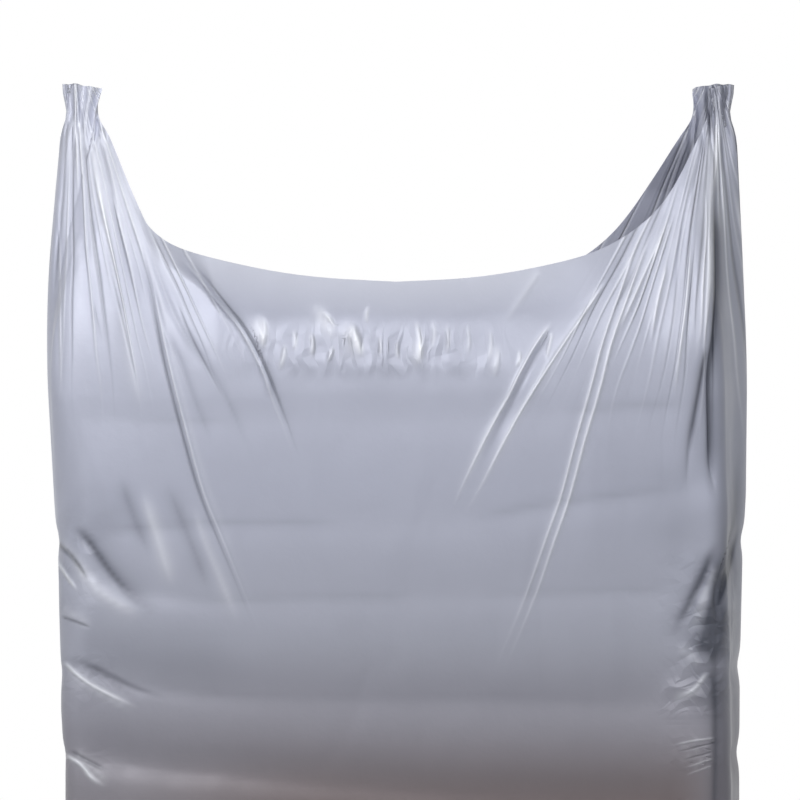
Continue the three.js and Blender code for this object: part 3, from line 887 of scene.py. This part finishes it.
# fine creases in mm: the drawn ones, and lines that spread from the two grips, each at its own angle and
# fading in and out
drawn = (calc("MULTIPLY", bell(attribute("fineAt" + n)), attribute("fineUp" + n)) for n in "AB")
fineUp = calc("ADD", *drawn)
angle, reach = attribute("fanAngle"), attribute("fanDistance")
fanPlace = addNode(tree, "ShaderNodeCombineXYZ", {0: angle, 1: reach}).outputs[0]
fanWide = addNode(tree, "ShaderNodeMapping", {0: fanPlace, "Scale": filmValues["fanWander"]}).outputs[0]
wobble = noiseNode(tree, fanWide, 1.0, 1.0).outputs[0]
line = calc("DIVIDE", angle, filmValues["fanStep"])
line = calc("ADD", line, calc("MULTIPLY", wobble, filmValues["fanBend"]))
lineId = calc("ROUND", line)
chance = addNode(tree, "ShaderNodeTexWhiteNoise", {"W": lineId}, noise_dimensions="1D").outputs["Value"]
lineAway = calc("MULTIPLY", calc("MULTIPLY", calc("SUBTRACT", line, lineId), filmValues["fanStep"]), reach)
lineStart = calc("MULTIPLY", lineId, filmValues["lineApart"])
lineReach = calc("MULTIPLY", reach, filmValues["lineScale"])
lineAlong = addNode(tree, "ShaderNodeCombineXYZ", {0: lineStart, 1: lineReach}).outputs[0]
lineFade = noiseNode(tree, lineAlong, 1.0, 0.0).outputs[0]
nearReach = ease(reach, *filmValues["fanReach"])
fanShare = calc("MULTIPLY", nearReach, ease(calc("ABSOLUTE", angle), *filmValues["fanAngles"]))
fanUp = bell(calc("DIVIDE", lineAway, filmValues["fanLine"]))
fanUp = calc("MULTIPLY", fanUp, ease(lineFade, *filmValues["lineFade"]))
lineUp = calc("MULTIPLY", ease(chance, 0.0, 1.0, *filmValues["lineHeight"]), fanShare)
fineUp = calc("ADD", fineUp, calc("MULTIPLY", fanUp, lineUp))

# colour: the filling shows through in a broad patch, then painted shade in the creases, painted highlight on
# the ridges
low, foot = (ease(xyz["Z"], *span) for span in filmValues["fillingLevels"])
fromLeft, fromRight = (ease(xyz["X"], *span) for span in filmValues["fillingAcross"])
through = calc("MULTIPLY", calc("MULTIPLY", low, foot), calc("MULTIPLY", fromLeft, fromRight))
front, back, backShare = filmValues["fillingBack"]
showing = ease(xyz["Y"], front, back, filmValues["fillingShare"], backShare * filmValues["fillingShare"])
through = calc("MULTIPLY", through, showing)
darker = calc("MULTIPLY", calc("MINIMUM", fineUp, 0.0), -filmValues["creaseShade"])
fineHighlight = calc("MULTIPLY", calc("MAXIMUM", fineUp, 0.0), filmValues["ridgeWhite"])
shares = {
    "filling": through,
    "crease": calc("ADD", attribute("shaded"), darker),
    "ridge": calc("ADD", attribute("whitened"), fineHighlight),
}
colour = tone.outputs[0]
for name, share in shares.items():
    inputs = {0: share, 6: colour, 7: linear(*filmValues[name])}
    mix = addNode(tree, "ShaderNodeMix", inputs, data_type="RGBA")
    colour = mix.outputs[2]
tree.links.new(colour, shader.inputs["Base Color"])


# facets: distance to the nearest spot, summed along the axes, makes a small pyramid of every cell
def facets(scale, turn, share):
    cell = addNode(tree, "ShaderNodeMapping", {0: bent, "Rotation": (0, turn, 0), "Scale": scale}).outputs[0]
    spots = addNode(tree, "ShaderNodeTexVoronoi", {"Vector": cell, "Scale": 1.0}, distance="MANHATTAN")
    return calc("MULTIPLY", spots.outputs["Distance"], share)


wanderScale, wanderDetail, wanderFar = filmValues["wander"]
wander = noiseNode(tree, place, wanderScale, wanderDetail).outputs["Color"]
half = (0.5, 0.5, 0.5)  # the middle of the noise
wander = addNode(tree, "ShaderNodeVectorMath", {0: wander, 1: half}, operation="SUBTRACT").outputs[0]
wander = addNode(tree, "ShaderNodeVectorMath", {0: wander, "Scale": wanderFar}, operation="SCALE").outputs[0]
bent = addNode(tree, "ShaderNodeVectorMath", {0: place, 1: wander}, operation="ADD").outputs[0]
flakeUp = facets(*filmValues["flakeCells"], attribute("flaked"))
facetUp = facets(*filmValues["crumpleCells"], attribute("crinkled"))
rippleScale, rippleDetail, rippleRough = filmValues["rippleNoise"]
ripple = noiseNode(tree, place, rippleScale, rippleDetail, Roughness=rippleRough).outputs[0]
swellPlace = addNode(tree, "ShaderNodeMapping", {0: place, "Scale": filmValues["swellScale"]}).outputs[0]
swell = noiseNode(tree, swellPlace, 1.0, 1.0, Distortion=filmValues["swellTwist"]).outputs[0]
bump = bumpNode(tree, swell, filmValues["swell"])
for height, name in ((ripple, "ripple"), (facetUp, "crumple"), (flakeUp, "flakes")):
    bump = bumpNode(tree, height, filmValues[name], bump)
tree.links.new(bumpNode(tree, fineUp, mm, bump), shader.inputs["Normal"])
bagFilm.data.materials.append(filmLook)

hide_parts("bag_film")
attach(bagFilm, "root")
print("film look", len(tree.nodes))

# folded quilts: piece replaced, height of the seat, number of folded layers, thickness of a layer, crown on
# top, colour
quilts = {
    "quiltLower": ("folded_quilt_lower", 0.8, 4, 85.8, 0.0, (0.33, 0.25, 0.2, 1)),
    "quiltMiddle": ("folded_quilt_middle", 344.0, 3, 86.0, 0.0, (0.42, 0.38, 0.36, 1)),
    "quiltUpper": ("folded_quilt_upper", 602.0, 3, 65.0, 10.0, (0.5, 0.48, 0.47, 1)),
}
quiltShape = {
    "columns": 160,
    "rowsPerLayer": 14,
    "capRows": 26,
    "capEnd": 0.02,  # share of the outline at which the cap is closed
    "half": (340.0, 116.0),  # mm, across and deep
    "square": 0.35,  # power that squares the outline; 1 is an ellipse
    "dip": 20.0,  # how far it is rounded in at a fold
    "gap": 0.6,  # left free above a stack
    "sinkFrom": 0.4,  # share of the height from which a crowned quilt draws in
    "sinkOver": 60.0,  # and by its crown divided by this
}


# a stack of soft layers: a rounded oblong, rounded in at every fold as half a circle, closed above and below
def quiltGrid(seat, layers, layer, crown):
    q = quiltShape
    a = np.linspace(0, 2 * math.pi, q["columns"], endpoint=False)
    across, deep = (np.sign(v) * np.abs(v) ** q["square"] for v in (np.cos(a), np.sin(a)))
    rows, thick = [], layer * layers - q["gap"]
    f = np.linspace(0, layers, layers * q["rowsPerLayer"] + 1)
    part = f - np.floor(f)
    inset = q["dip"] * (1 - np.sqrt(np.maximum(1 - (2 * part - 1) ** 2, 0)))
    slack = 1 - crown / q["sinkOver"] * smooth(q["sinkFrom"], 1, f / layers)
    for level, i, k in zip(seat + f / layers * thick, inset, slack):
        x, y = across * (q["half"][0] - i) * k, deep * (q["half"][1] - i) * k
        rows.append(np.stack([x, y, 0 * a + level], 1))
    shrink = np.linspace(1, q["capEnd"], q["capRows"])[1:, None, None]
    top = rows[-1] * [1, 1, 0] * shrink + [0, 0, 1] * (seat + thick + crown * (1 - shrink**2))
    bottom = rows[0] * [1, 1, 0] * shrink[::-1] + [0, 0, seat]
    return np.concatenate([bottom, np.stack(rows), top])


# cotton: stitched in a diamond pattern that draws it in, fine slubs between, faded in patches; lengths in m
cloth = {
    "diamond": 0.06,
    "stitchWidth": 0.03,
    "stitchDepth": 0.005,
    "slub": (220.0, 2.0),  # scale and detail
    "slubHeight": 0.0006,
    "patch": (9.0, 3.0),
    "patchRange": (0.3, 0.7),
    "fade": 0.12,
    "darkest": 0.4,  # times the colour
    "palest": 1.6,
    "roughness": 0.85,
    "sheen": 0.2,
}


# cloth in one colour: the puff between stitches is the product of two rows of eased zigzags that cross
def clothLook(name, colour):
    look = bpy.data.materials.new(name)
    look.use_nodes = True
    t = look.node_tree
    body = t.nodes["Principled BSDF"]
    body.inputs["Roughness"].default_value = cloth["roughness"]
    body.inputs["Sheen Weight"].default_value = cloth["sheen"]
    at = addNode(t, "ShaderNodeTexCoord").outputs["Object"]
    spread = noiseNode(t, at, *cloth["patch"]).outputs[0]
    worn = ramp(spread, *cloth["patchRange"], 0.5 - cloth["fade"], 0.5 + cloth["fade"], t)
    paler = addNode(t, "ShaderNodeValToRGB", {0: worn})
    for element, times in zip(paler.color_ramp.elements, (cloth["darkest"], cloth["palest"])):
        element.color = (*(min(times * v, 1) for v in colour[:3]), 1)
    t.links.new(paler.outputs[0], body.inputs["Base Color"])
    rows = []
    for way in ((1, 1, 1), (1, -1, -1)):
        along = addNode(t, "ShaderNodeVectorMath", {0: at, 1: way}, operation="DOT_PRODUCT").outputs["Value"]
        row = calc("PINGPONG", along, cloth["diamond"], t)
        rows.append(ease(row, 0.0, cloth["stitchWidth"], t=t))
    puff = calc("MULTIPLY", *rows, t)
    slub = noiseNode(t, at, *cloth["slub"]).outputs[0]
    fine = bumpNode(t, slub, cloth["slubHeight"], bumpNode(t, puff, cloth["stitchDepth"]))
    t.links.new(fine, body.inputs["Normal"])
    return look


# one quilt: the grid's rows joined up, and a middle point that closes it at each end
def quiltPiece(name, node, seat, layers, layer, crown, colour):
    grid = quiltGrid(seat, layers, layer, crown)
    rowsN, colsN = grid.shape[:2]
    ids = np.arange(rowsN * colsN).reshape(rowsN, colsN)
    after = np.roll(ids, -1, axis=1)
    fours = np.stack([ids[:-1], after[:-1], after[1:], ids[1:]], -1).reshape(-1, 4)
    ends = np.array([[0, 0, seat], [0, 0, grid[-1, :, 2].max()]])
    n = rowsN * colsN
    low = np.stack([np.full(colsN, n), after[0], ids[0]], 1)
    high = np.stack([np.full(colsN, n + 1), ids[-1], after[-1]], 1)
    ob = meshFrom(name, np.concatenate([grid.reshape(-1, 3), ends]), fours, np.concatenate([low, high]))
    ob.data.materials.append(clothLook(name + "Cloth", colour))
    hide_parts(node)
    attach(ob, "root")


for name, values in quilts.items():
    quiltPiece(name, *values)
print("quilts", len(quilts))

# studio: white round the part, a dim bluish fill from all sides, and softboxes; lengths in m
studio = {
    "fill": (0.82, 0.91, 1, 1),
    "fillStrength": 0.08,
    "floorSize": 30,
    "floorColour": (0.86, 0.86, 0.86, 1),
    "floorRoughness": 0.9,
    "floorFade": (0.7, 2.0),  # distances from the middle between which the floor passes into white
}
lamps = {  # place, what it points at, size, watts
    "keyBox": ((-1.5, -2.5, 2.6), (0, 0, 0.75), (1.3, 1.3), 45),
    "frontBox": ((1.35, -2.7, 2.65), (0, 0, 0.75), (1.6, 1.2), 34),
    "topBox": ((0.0, -0.9, 2.9), (0, 0, 0.8), (2.0, 1.8), 14),
    "backBox": ((-0.9, 3.2, 2.4), (0, 0, 0.7), (1.8, 1.4), 55),
    "leftBox": ((-2.4, -1.3, 1.0), (0, 0, 0.6), (0.8, 1.6), 4),
}


# one for the rays that show the background, straight, mirrored or through the film, nothing for the others
def shownIn(t):
    path = addNode(t, "ShaderNodeLightPath")
    kinds = ("Camera", "Glossy", "Transmission")
    straight, mirrored, through = (path.outputs[f"Is {kind} Ray"] for kind in kinds)
    return calc("MAXIMUM", calc("MAXIMUM", straight, mirrored, t), through, t)


scene = bpy.context.scene
scene.view_settings.view_transform = "Standard"
world = bpy.data.worlds.new("studio")
scene.world = world
world.use_nodes = True
wt = world.node_tree
back = wt.nodes["Background"]
seen = shownIn(wt)
cool = addNode(wt, "ShaderNodeMix", {0: seen, 6: studio["fill"], 7: (1, 1, 1, 1)}, data_type="RGBA")
wt.links.new(cool.outputs[2], back.inputs["Color"])
wt.links.new(ramp(seen, 0.0, 1.0, studio["fillStrength"], 1.0, wt), back.inputs["Strength"])

bpy.ops.mesh.primitive_plane_add(size=studio["floorSize"])
floor = bpy.context.object
floor.name = "floor"
floorLook = bpy.data.materials.new("paleFloor")
floorLook.use_nodes = True
ft = floorLook.node_tree
pale = ft.nodes["Principled BSDF"]
pale.inputs["Base Color"].default_value = studio["floorColour"]
pale.inputs["Roughness"].default_value = studio["floorRoughness"]
coord = addNode(ft, "ShaderNodeTexCoord").outputs["Object"]
far = addNode(ft, "ShaderNodeVectorMath", {0: coord}, operation="LENGTH").outputs["Value"]
onlySeen = calc("MULTIPLY", ease(far, *studio["floorFade"], t=ft), shownIn(ft), ft)
white = addNode(ft, "ShaderNodeEmission", {"Strength": 1.0})
blend = addNode(ft, "ShaderNodeMixShader", {0: onlySeen, 1: pale.outputs[0], 2: white.outputs[0]})
ft.links.new(blend.outputs[0], ft.nodes["Material Output"].inputs["Surface"])
floor.data.materials.append(floorLook)


def softbox(name, place, target, size, watts):  # a lamp turned so that its face looks from place to target
    lamp = bpy.data.lights.new(name, "AREA")
    lamp.shape = "RECTANGLE"
    lamp.size, lamp.size_y = size
    lamp.energy = watts
    ob = bpy.data.objects.new(name, lamp)
    scene.collection.objects.link(ob)
    d = np.array(target, float) - np.array(place, float)
    ob.location = place
    ob.rotation_euler = (math.atan2(math.hypot(d[0], d[1]), -d[2]), 0, math.atan2(d[1], d[0]) - math.pi / 2)


for name, values in lamps.items():
    softbox(name, *values)
print("lamps", len(lamps))

cam = bpy.data.cameras.new("camera")
cam.sensor_width = viewer["sensor"]
cam.lens = viewer["sensor"] * viewer["distance"] / viewer["frameWidth"]
camOb = bpy.data.objects.new("camera", cam)
scene.collection.objects.link(camOb)
camOb.location = (viewer["centre"] * mm, -viewer["distance"] * mm, viewer["height"] * mm)
camOb.rotation_euler = (math.pi / 2, 0, 0)
scene.camera = camOb
